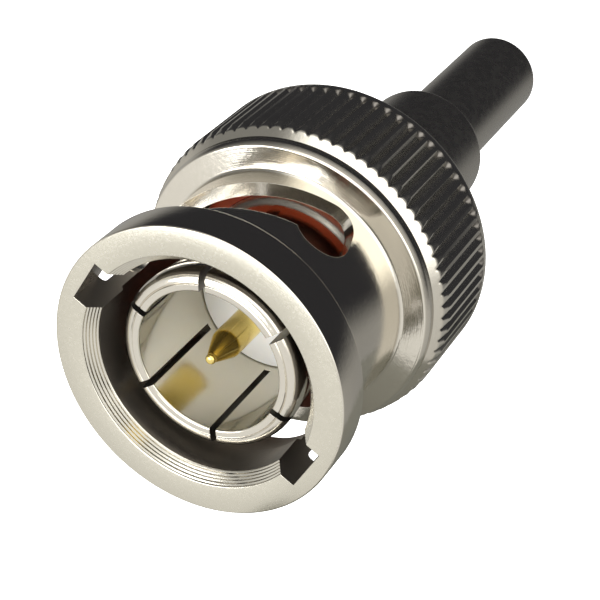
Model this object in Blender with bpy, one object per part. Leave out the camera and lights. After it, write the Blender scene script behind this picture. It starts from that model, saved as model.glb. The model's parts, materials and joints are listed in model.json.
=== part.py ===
"""BNC crimp plug: bayonet nut, six-finger contact sleeve, gold pin, spring washers and crimp ferrule.

The plug stands mouth up. +Z is the way it mates, and z = 0 is the rear end of the ferrule.
Sizes are in metres. A depth is a distance down the axis from the nut's front face, so it grows to the rear.
"""
import math

import bmesh
import bpy
from mathutils import Matrix, Vector

MM = 0.001

# Clearances
SEAT_GAP = 0.02 * MM        # between two faces that bear on each other
PRESS_GAP = 0.02 * MM       # round a piece that is pressed into a bore
RUN_GAP = 0.05 * MM         # round the flange and the gasket, where the nut turns on them
TAIL_RUN_GAP = 0.09 * MM    # round the sleeve's tail, where lip and washers slide

# Contact sleeve
TIP_RECESS = 1.06 * MM
SLEEVE_LENGTH = 7.54 * MM   # finger tips to gasket
CONTACT_BORE = 3.24 * MM    # radius inside the fingers
FINGER_WALL = 0.71 * MM
BEAD_HEIGHT = 0.13 * MM
BEAD_LENGTH = 0.95 * MM
BEAD_TAPER = 0.60 * MM
TIP_ROUND = 0.55 * MM
TIP_CHAMFER = 0.10 * MM
FINGER_COUNT = 6
FINGER_SLOT_WIDTH = 0.30 * MM
FINGER_SLOT_LENGTH = 5.04 * MM
CONTACT_TURN = math.radians(4.5)    # of a finger slot from the nut's entry notch, as the nut lies here
SEAT_STEP = 0.22 * MM       # rise from the fingers to the gasket's seat
SEAT_CONE = 0.50 * MM
BODY_FLANGE = 1.30 * MM     # thickness
TAIL_RADIUS = 3.21 * MM
TAIL_WALL = 0.76 * MM
TAIL_END = 1.30 * MM        # what the tail has behind the ring's groove

# Gasket
GASKET_THICKNESS = 1.00 * MM
GASKET_ROUND = 0.15 * MM

# Spring stack between the body's flange and the nut's lip
WASHER_THICKNESS = 0.20 * MM
WASHER_MARGIN = 0.10 * MM
WAVE_THICKNESS = 0.15 * MM
WAVE_HEIGHT = 0.68 * MM     # crest to trough
WAVE_COUNT = 3

# Retaining ring
RING_THICKNESS = 0.45 * MM
RING_BITE = 0.40 * MM       # depth of its groove in the tail
RING_WIDTH = 1.00 * MM
RING_SPLIT = math.radians(50.0)

# Coupling nut
MOUTH_GAP = 0.82 * MM       # between the finger bead and the nut's bore
MOUTH_CHAMFER = 0.42 * MM
MOUTH_CHAMFER_LENGTH = 0.60 * MM
FLANGE_WALL = 1.72 * MM
FLANGE_LENGTH = 1.90 * MM
FLANGE_BREAK = 0.08 * MM
BORE_LAND = 2.25 * MM       # depth at which the lug race starts
RACE_STEP = 0.15 * MM
RACE_TAPER = 0.15 * MM
RACE_OVERLAP = 0.55 * MM    # of the race over the gasket
NECK_WALL = 0.60 * MM
NECK_LENGTH = 5.88 * MM
NECK_FILLET = 0.22 * MM
SHOULDER_WALL = 1.90 * MM   # over the bore, at the shoulder's edge
SHOULDER_BREAK = 0.08 * MM
COLLAR_LENGTH = 0.67 * MM
COLLAR_RISE = 0.12 * MM
KNURL_WALL = 2.45 * MM
KNURL_CHAMFER_LENGTH = 0.40 * MM
KNURL_CROWN = 0.13 * MM
KNURL_CROWN_LENGTH = 0.50 * MM
KNURL_TEETH = 76
KNURL_DEPTH = 0.21 * MM
KNURL_GROOVE_WIDTH = 0.45 * MM
KNURL_REAR_LAND = 0.50 * MM
KNURL_RUNOUT = 0.40 * MM
REAR_BREAK = 0.23 * MM
LIP_THICKNESS = 0.70 * MM
REAR_RECESS = 0.26 * MM     # of the retaining ring in the nut's rear
RING_ROOM = 0.25 * MM

# Entry notches and cam slots for the jack's two lugs
NOTCH_WIDTH = 2.15 * MM
NOTCH_DEPTH = 1.00 * MM     # out from the bore
CAM_WIDTH = 2.50 * MM
CAM_RIM_FRONT = 0.80 * MM
CAM_RIM_REAR = 0.35 * MM
CAM_TURN = math.radians(90.0)
DETENT_TURN = math.radians(92.0)
DETENT_DROP = 0.70 * MM
CAM_STARTS = (0.0, math.pi)
CAM_STEP = 0.60 * MM        # between facets along the slot

# Insulators
FRONT_INSULATOR_RECESS = 5.38 * MM      # its face behind the finger tips
BORE_STEP_LEAD = 0.70 * MM              # of the step in the sleeve's bore ahead of the flange's rear face
INSULATOR_BREAK = 0.08 * MM
REAR_INSULATOR_LENGTH = 1.10 * MM
INSULATOR_STEP = 0.02 * MM

# Centre pin
PIN_TIP_RECESS = 1.20 * MM
PIN_RADIUS = 0.675 * MM
PIN_TIP_RADIUS = 0.23 * MM
PIN_CONE_LENGTH = 1.20 * MM
PIN_COLLAR_STEP = 0.33 * MM
PIN_COLLAR_LENGTH = 0.65 * MM
PIN_COLLAR_FROM_END = 0.88 * MM         # collar's rear face to the front insulator's rear face
PIN_BARREL_STEP = 0.125 * MM
PIN_BARREL_LENGTH = 4.60 * MM
PIN_BORE = 0.26 * MM
PIN_BORE_LENGTH = 3.40 * MM
PIN_PEEP_RADIUS = 0.22 * MM
PIN_PEEP_FROM_END = 2.60 * MM

# Rear body: spigot, hub and crimp stem
SPIGOT_WALL = 0.93 * MM
HUB_LENGTH = 9.26 * MM
HUB_ROUND = 0.40 * MM
CHAMBER_LENGTH = 4.05 * MM  # of the wide bore round the pin's barrel
STEM_BORE = 0.85 * MM
STEM_WALL = 0.35 * MM
STEM_LENGTH = 9.70 * MM
STEM_BARBS = 5
STEM_BARB_RISE = 0.10 * MM
STEM_BARB_PITCH = 1.20 * MM
STEM_NOSE = 0.15 * MM

# Crimp ferrule
FERRULE_RADIUS = 2.24 * MM
FERRULE_WALL = 0.52 * MM
FERRULE_LENGTH = 10.67 * MM
FERRULE_ROUND = 0.12 * MM

# Facets round each piece
NUT_SIDES = KNURL_TEETH
SLEEVE_SIDES = 10 * FINGER_COUNT
BODY_SIDES = 36
SMALL_SIDES = 24
CUTTER_MARGIN = 0.50 * MM

# Depths and radii that follow from the sizes above
GASKET_FRONT = TIP_RECESS + SLEEVE_LENGTH
FLANGE_FRONT = GASKET_FRONT + GASKET_THICKNESS + SEAT_GAP
FLANGE_REAR = FLANGE_FRONT + BODY_FLANGE
WASHER_FRONT = FLANGE_REAR + SEAT_GAP
WAVE_FRONT = WASHER_FRONT + WASHER_THICKNESS + SEAT_GAP
WAVE_REAR = WAVE_FRONT + WAVE_HEIGHT + 2 * WAVE_THICKNESS + SEAT_GAP
REAR_WASHER_FRONT = WAVE_REAR + SEAT_GAP
LIP_FRONT = REAR_WASHER_FRONT + WASHER_THICKNESS + SEAT_GAP
LIP_REAR = LIP_FRONT + LIP_THICKNESS
RING_FRONT = LIP_REAR + SEAT_GAP
RING_REAR = RING_FRONT + RING_THICKNESS
NUT_REAR = RING_REAR + REAR_RECESS
TAIL_REAR = RING_REAR + SEAT_GAP + TAIL_END
HUB_FRONT = TAIL_REAR + SEAT_GAP
HUB_REAR = HUB_FRONT + HUB_LENGTH
FERRULE_FRONT = HUB_REAR + SEAT_GAP
PLUG_LENGTH = FERRULE_FRONT + FERRULE_LENGTH

FINGER_RADIUS = CONTACT_BORE + FINGER_WALL
BEAD_RADIUS = FINGER_RADIUS + BEAD_HEIGHT
SEAT_RADIUS = FINGER_RADIUS + SEAT_STEP
NUT_BORE = BEAD_RADIUS + MOUTH_GAP
BODY_FLANGE_RADIUS = NUT_BORE - RUN_GAP
RACE_RADIUS = NUT_BORE + RACE_STEP
NECK_RADIUS = RACE_RADIUS + NECK_WALL
FLANGE_RADIUS = NUT_BORE + FLANGE_WALL
SHOULDER_RADIUS = NUT_BORE + SHOULDER_WALL
KNURL_RADIUS = NUT_BORE + KNURL_WALL
TAIL_BORE = TAIL_RADIUS - TAIL_WALL
GROOVE_RADIUS = TAIL_RADIUS - RING_BITE
SPIGOT_RADIUS = TAIL_BORE - PRESS_GAP
CHAMBER_RADIUS = SPIGOT_RADIUS - SPIGOT_WALL
WASHER_BORE = TAIL_RADIUS + TAIL_RUN_GAP
WASHER_RADIUS = BODY_FLANGE_RADIUS - WASHER_MARGIN
RING_BORE = GROOVE_RADIUS + SEAT_GAP
RING_RADIUS = RING_BORE + RING_WIDTH
BARREL_RADIUS = PIN_RADIUS + PIN_BARREL_STEP
COLLAR_RADIUS = PIN_RADIUS + PIN_COLLAR_STEP

NECK_REAR = FLANGE_LENGTH + NECK_LENGTH
KNURL_FRONT = NECK_REAR + COLLAR_LENGTH + KNURL_CHAMFER_LENGTH
RACE_REAR = GASKET_FRONT + RACE_OVERLAP
FRONT_INSULATOR_FRONT = TIP_RECESS + FRONT_INSULATOR_RECESS
BORE_STEP_DEPTH = FLANGE_REAR - BORE_STEP_LEAD
FRONT_INSULATOR_REAR = BORE_STEP_DEPTH - SEAT_GAP
REAR_INSULATOR_FRONT = BORE_STEP_DEPTH + SEAT_GAP
REAR_INSULATOR_REAR = REAR_INSULATOR_FRONT + REAR_INSULATOR_LENGTH
SPIGOT_FRONT = REAR_INSULATOR_REAR + SEAT_GAP
COLLAR_REAR = FRONT_INSULATOR_REAR - PIN_COLLAR_FROM_END
COLLAR_FRONT = COLLAR_REAR - PIN_COLLAR_LENGTH
POCKET_FRONT = COLLAR_FRONT - SEAT_GAP
BARREL_REAR = COLLAR_REAR + PIN_BARREL_LENGTH


def finish(name, colour, metallic, roughness):
    """A plain material for one of the plug's surfaces."""
    material = bpy.data.materials.new(name)
    material.use_nodes = True
    shader = material.node_tree.nodes["Principled BSDF"]
    shader.inputs["Base Color"].default_value = (*colour, 1.0)
    shader.inputs["Metallic"].default_value = metallic
    shader.inputs["Roughness"].default_value = roughness
    material.diffuse_color = (*colour, 1.0)
    return material


def arc(radius, depth, size, start, end, steps=3):
    """Points on a round of the outline; 0 degrees points outwards and 90 degrees to the rear."""
    angles = [math.radians(start + (end - start) * step / steps) for step in range(steps + 1)]
    return [(radius + size * math.cos(angle), depth + size * math.sin(angle)) for angle in angles]


def add_piece(name, mesh, frame, material=None):
    """Link a mesh as a named object on one of the plug's frames, shaded smooth between its sharp edges."""
    data = bpy.data.meshes.new(name)
    bmesh.ops.recalc_face_normals(mesh, faces=mesh.faces)
    mesh.to_mesh(data)
    mesh.free()
    data.shade_smooth()
    data.set_sharp_from_angle(angle=math.radians(30.0))
    if material is not None:
        data.materials.append(material)
    piece = bpy.data.objects.new(name, data)
    bpy.context.scene.collection.objects.link(piece)
    piece.parent = frame
    return piece


def turned(outline, sides, angle=2 * math.pi, closed=True):
    """A mesh turned about the axis from (radius, depth) points.

    An outline that starts and ends on the axis is open. A part turn keeps its outline's face at both ends.
    """
    mesh = bmesh.new()
    corners = [mesh.verts.new((radius, 0.0, -depth)) for radius, depth in outline]
    edges = [mesh.edges.new(pair) for pair in zip(corners, corners[1:])]
    full_turn = math.isclose(angle, 2 * math.pi)
    if closed:
        edges.append(mesh.edges.new((corners[-1], corners[0])))
    section = [] if full_turn else [mesh.faces.new(corners)]
    bmesh.ops.spin(mesh, geom=corners + edges + section, cent=(0, 0, 0), axis=(0, 0, 1), angle=angle,
                   steps=sides, use_merge=full_turn)
    bmesh.ops.remove_doubles(mesh, verts=mesh.verts, dist=1e-8)
    return mesh


def cut(piece, cutter):
    """Take a cutter's shape out of a piece."""
    cutter.hide_render = True
    cutter.display_type = "WIRE"
    modifier = piece.modifiers.new(cutter.name, "BOOLEAN")
    modifier.operation = "DIFFERENCE"
    modifier.solver = "EXACT"
    modifier.object = cutter


def box_cutter(name, frame, reach, width, front, rear, turn=0.0):
    """A bar across the axis, from depth front to depth rear, that cuts both sides of a tube."""
    mesh = bmesh.new()
    bmesh.ops.create_cube(mesh, size=1.0)
    bmesh.ops.scale(mesh, vec=(2 * reach, width, rear - front), verts=mesh.verts)
    bmesh.ops.translate(mesh, vec=(0, 0, -(front + rear) / 2), verts=mesh.verts)
    bmesh.ops.rotate(mesh, cent=(0, 0, 0), matrix=Matrix.Rotation(turn, 3, "Z"), verts=mesh.verts)
    return add_piece(name, mesh, frame)


def cam_cutter(name, frame, notch, start, bend, end):
    """The path of a round milling cutter over the neck, from start round a bend to end, each a (turn, depth) pair.

    The path is drawn flat, with arc length on the neck across and depth down, then wrapped round the neck.
    Turns run clockwise from the entry notch, as seen from the mouth. The bend turns the path back to the mouth,
    so close to its end that the ramp's inner edge runs straight into the end's round.
    """
    half = CAM_WIDTH / 2
    first, corner, last = (Vector((turn * NECK_RADIUS, depth)) for turn, depth in (start, bend, end))
    ramp = (corner - first).normalized()
    drop = (last - corner).normalized()
    ramp_side = Vector((-ramp.y, ramp.x))
    drop_side = Vector((-drop.y, drop.x))
    inner_start = first - ramp_side * half
    off_edge = (last - inner_start).dot(ramp_side)
    inner_run = (last - inner_start).dot(ramp) - math.sqrt(half ** 2 - off_edge ** 2)
    inner_corner = inner_start + ramp * inner_run
    quarter = [math.radians(15.0 * step) for step in range(7)]
    stations = []
    for angle in quarter:
        middle = first - ramp * half * math.cos(angle)
        reach = ramp_side * half * math.sin(angle)
        stations.append((middle + reach, middle - reach))
    steps = max(2, round(inner_run / CAM_STEP))
    for step in range(1, steps + 1):
        middle = first + ramp * inner_run * step / steps
        stations.append((middle + ramp_side * half, middle - ramp_side * half))
    for step in range(5):
        outward = ramp_side.slerp(drop_side, step / 4)
        stations.append((corner + outward * half, inner_corner))
    to_corner = inner_corner - last
    sweep = math.atan2(to_corner.dot(drop), to_corner.dot(drop_side))
    for step in range(9):
        angle = sweep * step / 9
        stations.append((last + (drop_side * math.cos(angle) + drop * math.sin(angle)) * half, inner_corner))
    mesh = bmesh.new()
    rows = [[mesh.verts.new((point.x, point.y, 0.0)) for point in station] for station in stations]
    for near, far in zip(rows, rows[1:]):
        mesh.faces.new((near[0], far[0], far[1], near[1]))
    bmesh.ops.remove_doubles(mesh, verts=mesh.verts, dist=1e-8)
    inner = NUT_BORE - CUTTER_MARGIN
    outer = NECK_RADIUS + CUTTER_MARGIN
    floor = list(mesh.verts)
    raised = bmesh.ops.extrude_face_region(mesh, geom=list(mesh.faces), use_keep_orig=True)
    roof = [item for item in raised["geom"] if isinstance(item, bmesh.types.BMVert)]
    for verts, radius in ((floor, inner), (roof, outer)):
        for vert in verts:
            turn = notch - vert.co.x / NECK_RADIUS
            vert.co = Vector((radius * math.cos(turn), radius * math.sin(turn), -vert.co.y))
    return add_piece(name, mesh, frame)


def knurl_cutter(name, frame, front, rear):
    """One V tool for each knurl groove, running out to a point at the rear."""
    top = KNURL_RADIUS + KNURL_DEPTH / 4
    bottom = KNURL_RADIUS - KNURL_DEPTH
    half = KNURL_GROOVE_WIDTH / 2 * (top - bottom) / KNURL_DEPTH
    mesh = bmesh.new()
    points = [(bottom, 0.0, -front), (bottom, 0.0, KNURL_RUNOUT - rear), (top, 0.0, -rear)]
    points += [(top, side * half, -depth) for side in (-1, 1) for depth in (front, rear - KNURL_RUNOUT)]
    tool = bmesh.ops.convex_hull(mesh, input=[mesh.verts.new(point) for point in points])
    pitch = 2 * math.pi / KNURL_TEETH
    bmesh.ops.rotate(mesh, cent=(0, 0, 0), matrix=Matrix.Rotation(pitch / 2, 3, "Z"), verts=mesh.verts)
    bmesh.ops.recalc_face_normals(mesh, faces=mesh.faces)
    bmesh.ops.spin(mesh, geom=list(mesh.verts) + list(mesh.edges) + list(mesh.faces), cent=(0, 0, 0),
                   axis=(0, 0, 1), angle=2 * math.pi - pitch, steps=KNURL_TEETH - 1, use_duplicate=True)
    return add_piece(name, mesh, frame)


def coupling_nut(frame, nickel):
    """The turned nut, then its entry notches, cam slots and knurl."""
    outline = [(NUT_BORE + MOUTH_CHAMFER, 0.0)]
    outline += [(FLANGE_RADIUS - FLANGE_BREAK, 0.0), (FLANGE_RADIUS, FLANGE_BREAK)]
    outline += [(FLANGE_RADIUS, FLANGE_LENGTH - FLANGE_BREAK), (FLANGE_RADIUS - FLANGE_BREAK, FLANGE_LENGTH)]
    fillet_centre = NECK_RADIUS + NECK_FILLET
    outline += arc(fillet_centre, FLANGE_LENGTH + NECK_FILLET, NECK_FILLET, 270.0, 180.0)
    outline += arc(fillet_centre, NECK_REAR - NECK_FILLET, NECK_FILLET, 180.0, 90.0)
    outline += [(SHOULDER_RADIUS - SHOULDER_BREAK, NECK_REAR), (SHOULDER_RADIUS, NECK_REAR + SHOULDER_BREAK)]
    outline += [(SHOULDER_RADIUS + COLLAR_RISE, NECK_REAR + COLLAR_LENGTH), (KNURL_RADIUS - KNURL_CROWN, KNURL_FRONT)]
    outline += [(KNURL_RADIUS, KNURL_FRONT + KNURL_CROWN_LENGTH)]
    outline += [(KNURL_RADIUS, NUT_REAR - REAR_BREAK), (KNURL_RADIUS - REAR_BREAK, NUT_REAR)]
    outline += [(RING_RADIUS + RING_ROOM, NUT_REAR), (RING_RADIUS + RING_ROOM, LIP_REAR)]
    outline += [(WASHER_BORE, LIP_REAR), (WASHER_BORE, LIP_FRONT), (NUT_BORE, LIP_FRONT)]
    outline += [(NUT_BORE, RACE_REAR), (RACE_RADIUS, RACE_REAR - RACE_TAPER)]
    outline += [(RACE_RADIUS, BORE_LAND + RACE_TAPER), (NUT_BORE, BORE_LAND), (NUT_BORE, MOUTH_CHAMFER_LENGTH)]
    nut = add_piece("coupling_nut", turned(outline, NUT_SIDES), frame, nickel)
    cam_front = FLANGE_LENGTH + CAM_RIM_FRONT + CAM_WIDTH / 2
    cam_rear = NECK_REAR - CAM_RIM_REAR - CAM_WIDTH / 2
    notch_reach = NUT_BORE + NOTCH_DEPTH
    cut(nut, box_cutter("entry_notch_cutter", frame, notch_reach, NOTCH_WIDTH, -CUTTER_MARGIN, cam_front))
    path = ((0.0, cam_front), (CAM_TURN, cam_rear), (DETENT_TURN, cam_rear - DETENT_DROP))
    for number, notch in enumerate(CAM_STARTS, 1):
        cut(nut, cam_cutter(f"cam_cutter_{number}", frame, notch, *path))
    knurl_rear = NUT_REAR - KNURL_REAR_LAND
    cut(nut, knurl_cutter("knurl_cutter", frame, NECK_REAR, knurl_rear))


def outer_contact(frame, nickel):
    """The sleeve with six spring fingers, the gasket's seat, the flange and the tail that the nut turns on."""
    outline = [(CONTACT_BORE + TIP_CHAMFER, TIP_RECESS)]
    outline += arc(BEAD_RADIUS - TIP_ROUND, TIP_RECESS + TIP_ROUND, TIP_ROUND, -90.0, 0.0)
    bead_rear = TIP_RECESS + BEAD_LENGTH
    outline += [(BEAD_RADIUS, bead_rear), (FINGER_RADIUS, bead_rear + BEAD_TAPER)]
    outline += [(FINGER_RADIUS, GASKET_FRONT - SEAT_CONE - SEAT_GAP), (SEAT_RADIUS, GASKET_FRONT - SEAT_GAP)]
    outline += [(SEAT_RADIUS, FLANGE_FRONT), (BODY_FLANGE_RADIUS, FLANGE_FRONT)]
    outline += [(BODY_FLANGE_RADIUS, FLANGE_REAR), (TAIL_RADIUS, FLANGE_REAR)]
    outline += [(TAIL_RADIUS, RING_FRONT - SEAT_GAP), (GROOVE_RADIUS, RING_FRONT - SEAT_GAP)]
    outline += [(GROOVE_RADIUS, RING_REAR + SEAT_GAP), (TAIL_RADIUS, RING_REAR + SEAT_GAP)]
    outline += [(TAIL_RADIUS, TAIL_REAR), (TAIL_BORE, TAIL_REAR), (TAIL_BORE, BORE_STEP_DEPTH)]
    outline += [(CONTACT_BORE, BORE_STEP_DEPTH), (CONTACT_BORE, TIP_RECESS + TIP_CHAMFER)]
    mesh = turned(outline, SLEEVE_SIDES)
    facet = 2 * math.pi / SLEEVE_SIDES
    turn = Matrix.Rotation(CONTACT_TURN + facet / 2, 3, "Z")
    bmesh.ops.rotate(mesh, cent=(0, 0, 0), matrix=turn, verts=mesh.verts)
    sleeve = add_piece("outer_contact", mesh, frame, nickel)
    for pair in range(FINGER_COUNT // 2):
        bar = box_cutter(f"finger_slot_cutter_{pair + 1}", frame, BEAD_RADIUS + CUTTER_MARGIN, FINGER_SLOT_WIDTH,
                         TIP_RECESS - CUTTER_MARGIN, TIP_RECESS + FINGER_SLOT_LENGTH,
                         CONTACT_TURN + 2 * math.pi * pair / FINGER_COUNT)
        cut(sleeve, bar)


def gasket(frame, silicone):
    """A silicone ring on the sleeve's seat, against the flange."""
    inner = SEAT_RADIUS + PRESS_GAP
    outer = BODY_FLANGE_RADIUS
    rear = GASKET_FRONT + GASKET_THICKNESS
    outline = [(inner, GASKET_FRONT)]
    outline += arc(outer - GASKET_ROUND, GASKET_FRONT + GASKET_ROUND, GASKET_ROUND, -90.0, 0.0, 2)
    outline += [(outer, rear), (inner, rear)]
    add_piece("gasket", turned(outline, BODY_SIDES), frame, silicone)


def flat_washer(name, front, frame, steel):
    """A flat ring that slides on the sleeve's tail."""
    rear = front + WASHER_THICKNESS
    outline = [(WASHER_BORE, front), (WASHER_RADIUS, front), (WASHER_RADIUS, rear), (WASHER_BORE, rear)]
    add_piece(name, turned(outline, BODY_SIDES), frame, steel)


def wave_washer(name, front, frame, steel):
    """A spring washer: a flat ring bent into waves round its circumference."""
    rear = front + WAVE_THICKNESS
    outline = [(WASHER_BORE, front), (WASHER_RADIUS, front), (WASHER_RADIUS, rear), (WASHER_BORE, rear)]
    mesh = turned(outline, 2 * SMALL_SIDES)
    for vert in mesh.verts:
        turn = math.atan2(vert.co.y, vert.co.x)
        vert.co.z -= WAVE_HEIGHT * (1.0 - math.cos(WAVE_COUNT * turn)) / 2
    add_piece(name, mesh, frame, steel)


def retaining_ring(frame, steel):
    """A split ring sprung into the tail's groove, where the nut's lip rests on it."""
    outline = [(RING_BORE, RING_FRONT), (RING_RADIUS, RING_FRONT), (RING_RADIUS, RING_REAR),
               (RING_BORE, RING_REAR)]
    mesh = turned(outline, BODY_SIDES, angle=2 * math.pi - RING_SPLIT)
    add_piece("retaining_ring", mesh, frame, steel)


def front_insulator(frame, fluoropolymer):
    """A bush in the sleeve's bore, with a pocket at its rear for the pin's collar."""
    outer = CONTACT_BORE - PRESS_GAP
    hole = PIN_RADIUS + PRESS_GAP
    pocket = COLLAR_RADIUS + PRESS_GAP
    outline = [(hole, FRONT_INSULATOR_FRONT), (outer - INSULATOR_BREAK, FRONT_INSULATOR_FRONT)]
    outline += [(outer, FRONT_INSULATOR_FRONT + INSULATOR_BREAK), (outer, FRONT_INSULATOR_REAR)]
    outline += [(pocket, FRONT_INSULATOR_REAR), (pocket, POCKET_FRONT), (hole, POCKET_FRONT)]
    add_piece("front_insulator", turned(outline, BODY_SIDES), frame, fluoropolymer)


def rear_insulator(frame, fluoropolymer):
    """A bush in the tail's bore, whose nose holds the pin's collar in the front insulator."""
    hole = BARREL_RADIUS + PRESS_GAP
    nose = COLLAR_RADIUS
    outer = TAIL_BORE - PRESS_GAP
    nose_front = COLLAR_REAR + SEAT_GAP
    outline = [(hole, nose_front), (nose, nose_front), (nose, REAR_INSULATOR_FRONT)]
    outline += [(outer, REAR_INSULATOR_FRONT), (outer, REAR_INSULATOR_REAR), (hole, REAR_INSULATOR_REAR)]
    add_piece("rear_insulator", turned(outline, BODY_SIDES), frame, fluoropolymer)


def centre_pin(frame, gold):
    """The pin: round nub, cone, shank, collar and a barrel that is crimped on the wire."""
    nub = arc(0.0, PIN_TIP_RECESS + PIN_TIP_RADIUS, PIN_TIP_RADIUS, -90.0, 0.0)
    nub[0] = (0.0, PIN_TIP_RECESS)
    cone_front = PIN_TIP_RECESS + PIN_TIP_RADIUS + SEAT_GAP
    outline = nub + [(PIN_TIP_RADIUS, cone_front), (PIN_RADIUS, cone_front + PIN_CONE_LENGTH)]
    outline += [(PIN_RADIUS, COLLAR_FRONT), (COLLAR_RADIUS, COLLAR_FRONT), (COLLAR_RADIUS, COLLAR_REAR)]
    outline += [(BARREL_RADIUS, COLLAR_REAR), (BARREL_RADIUS, BARREL_REAR), (PIN_BORE, BARREL_REAR)]
    outline += [(PIN_BORE, BARREL_REAR - PIN_BORE_LENGTH), (0.0, BARREL_REAR - PIN_BORE_LENGTH - PIN_BORE / 2)]
    pin = add_piece("centre_pin", turned(outline, SMALL_SIDES, closed=False), frame, gold)
    mesh = bmesh.new()
    place = Matrix.Translation((BARREL_RADIUS / 2, 0, PIN_PEEP_FROM_END - BARREL_REAR))
    bmesh.ops.create_cone(mesh, cap_ends=True, segments=SMALL_SIDES // 2, radius1=PIN_PEEP_RADIUS,
                          radius2=PIN_PEEP_RADIUS, depth=2 * BARREL_RADIUS,
                          matrix=place @ Matrix.Rotation(math.pi / 2, 4, "Y"))
    bmesh.ops.translate(mesh, vec=(BARREL_RADIUS / 2, 0, 0), verts=mesh.verts)
    cut(pin, add_piece("peep_hole_cutter", mesh, frame))


def rear_body(frame, nickel):
    """Spigot, hub and crimp stem, bored through for the wire's insulation."""
    stem = STEM_BORE + STEM_WALL
    stem_rear = HUB_REAR + STEM_LENGTH
    chamber_rear = SPIGOT_FRONT + CHAMBER_LENGTH
    outline = [(CHAMBER_RADIUS, SPIGOT_FRONT), (SPIGOT_RADIUS, SPIGOT_FRONT), (SPIGOT_RADIUS, HUB_FRONT)]
    outline += [(TAIL_RADIUS, HUB_FRONT)]
    outline += arc(TAIL_RADIUS - HUB_ROUND, HUB_REAR - HUB_ROUND, HUB_ROUND, 0.0, 90.0)
    outline += [(stem, HUB_REAR)]
    barbs_front = stem_rear - STEM_NOSE - STEM_BARBS * STEM_BARB_PITCH
    for number in range(STEM_BARBS):
        barb_front = barbs_front + number * STEM_BARB_PITCH
        outline += [(stem, barb_front), (stem + STEM_BARB_RISE, barb_front + SEAT_GAP)]
    outline += [(stem, stem_rear - STEM_NOSE), (stem - STEM_NOSE, stem_rear), (STEM_BORE, stem_rear)]
    outline += [(STEM_BORE, chamber_rear), (CHAMBER_RADIUS, chamber_rear)]
    add_piece("rear_body", turned(outline, BODY_SIDES), frame, nickel)


def crimp_ferrule(frame, nickel):
    """A thin tube over the stem; the cable's braid is crimped between the two."""
    inner = FERRULE_RADIUS - FERRULE_WALL
    rear = FERRULE_FRONT + FERRULE_LENGTH
    outline = [(inner, FERRULE_FRONT)]
    outline += arc(FERRULE_RADIUS - FERRULE_ROUND, FERRULE_FRONT + FERRULE_ROUND, FERRULE_ROUND, -90.0, 0.0, 2)
    outline += arc(FERRULE_RADIUS - FERRULE_ROUND, rear - FERRULE_ROUND, FERRULE_ROUND, 0.0, 90.0, 2)
    outline += [(inner, rear)]
    add_piece("crimp_ferrule", turned(outline, BODY_SIDES), frame, nickel)


def empty(name, parent=None, height=0.0):
    """A frame that carries pieces."""
    frame = bpy.data.objects.new(name, None)
    bpy.context.scene.collection.objects.link(frame)
    frame.parent = parent
    frame.location.z = height
    return frame


for old in list(bpy.data.objects):
    bpy.data.objects.remove(old)

polished_nickel = finish("polished_nickel", (0.72, 0.70, 0.65), 1.0, 0.18)
satin_nickel = finish("satin_nickel", (0.45, 0.44, 0.41), 1.0, 0.35)
gold_plate = finish("gold_plate", (0.83, 0.61, 0.22), 1.0, 0.22)
red_silicone = finish("red_silicone", (0.42, 0.07, 0.03), 0.0, 0.55)
white_fluoropolymer = finish("white_fluoropolymer", (0.86, 0.87, 0.88), 0.0, 0.45)
spring_steel = finish("spring_steel", (0.55, 0.55, 0.55), 1.0, 0.35)

plug_frame = empty("plug_frame", height=PLUG_LENGTH)
nut_frame = empty("nut_frame", parent=plug_frame)

coupling_nut(nut_frame, polished_nickel)
flat_washer("rear_washer", REAR_WASHER_FRONT, nut_frame, spring_steel)
outer_contact(plug_frame, polished_nickel)
gasket(plug_frame, red_silicone)
flat_washer("front_washer", WASHER_FRONT, plug_frame, spring_steel)
wave_washer("wave_washer_front", WAVE_FRONT, plug_frame, spring_steel)
wave_washer("wave_washer_rear", WAVE_FRONT + WAVE_THICKNESS + SEAT_GAP, plug_frame, spring_steel)
retaining_ring(plug_frame, spring_steel)
front_insulator(plug_frame, white_fluoropolymer)
rear_insulator(plug_frame, white_fluoropolymer)
centre_pin(plug_frame, gold_plate)
rear_body(plug_frame, satin_nickel)
crimp_ferrule(plug_frame, satin_nickel)
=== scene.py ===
import json
import math

import bmesh
import bpy
from mathutils import Matrix, Vector

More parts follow.
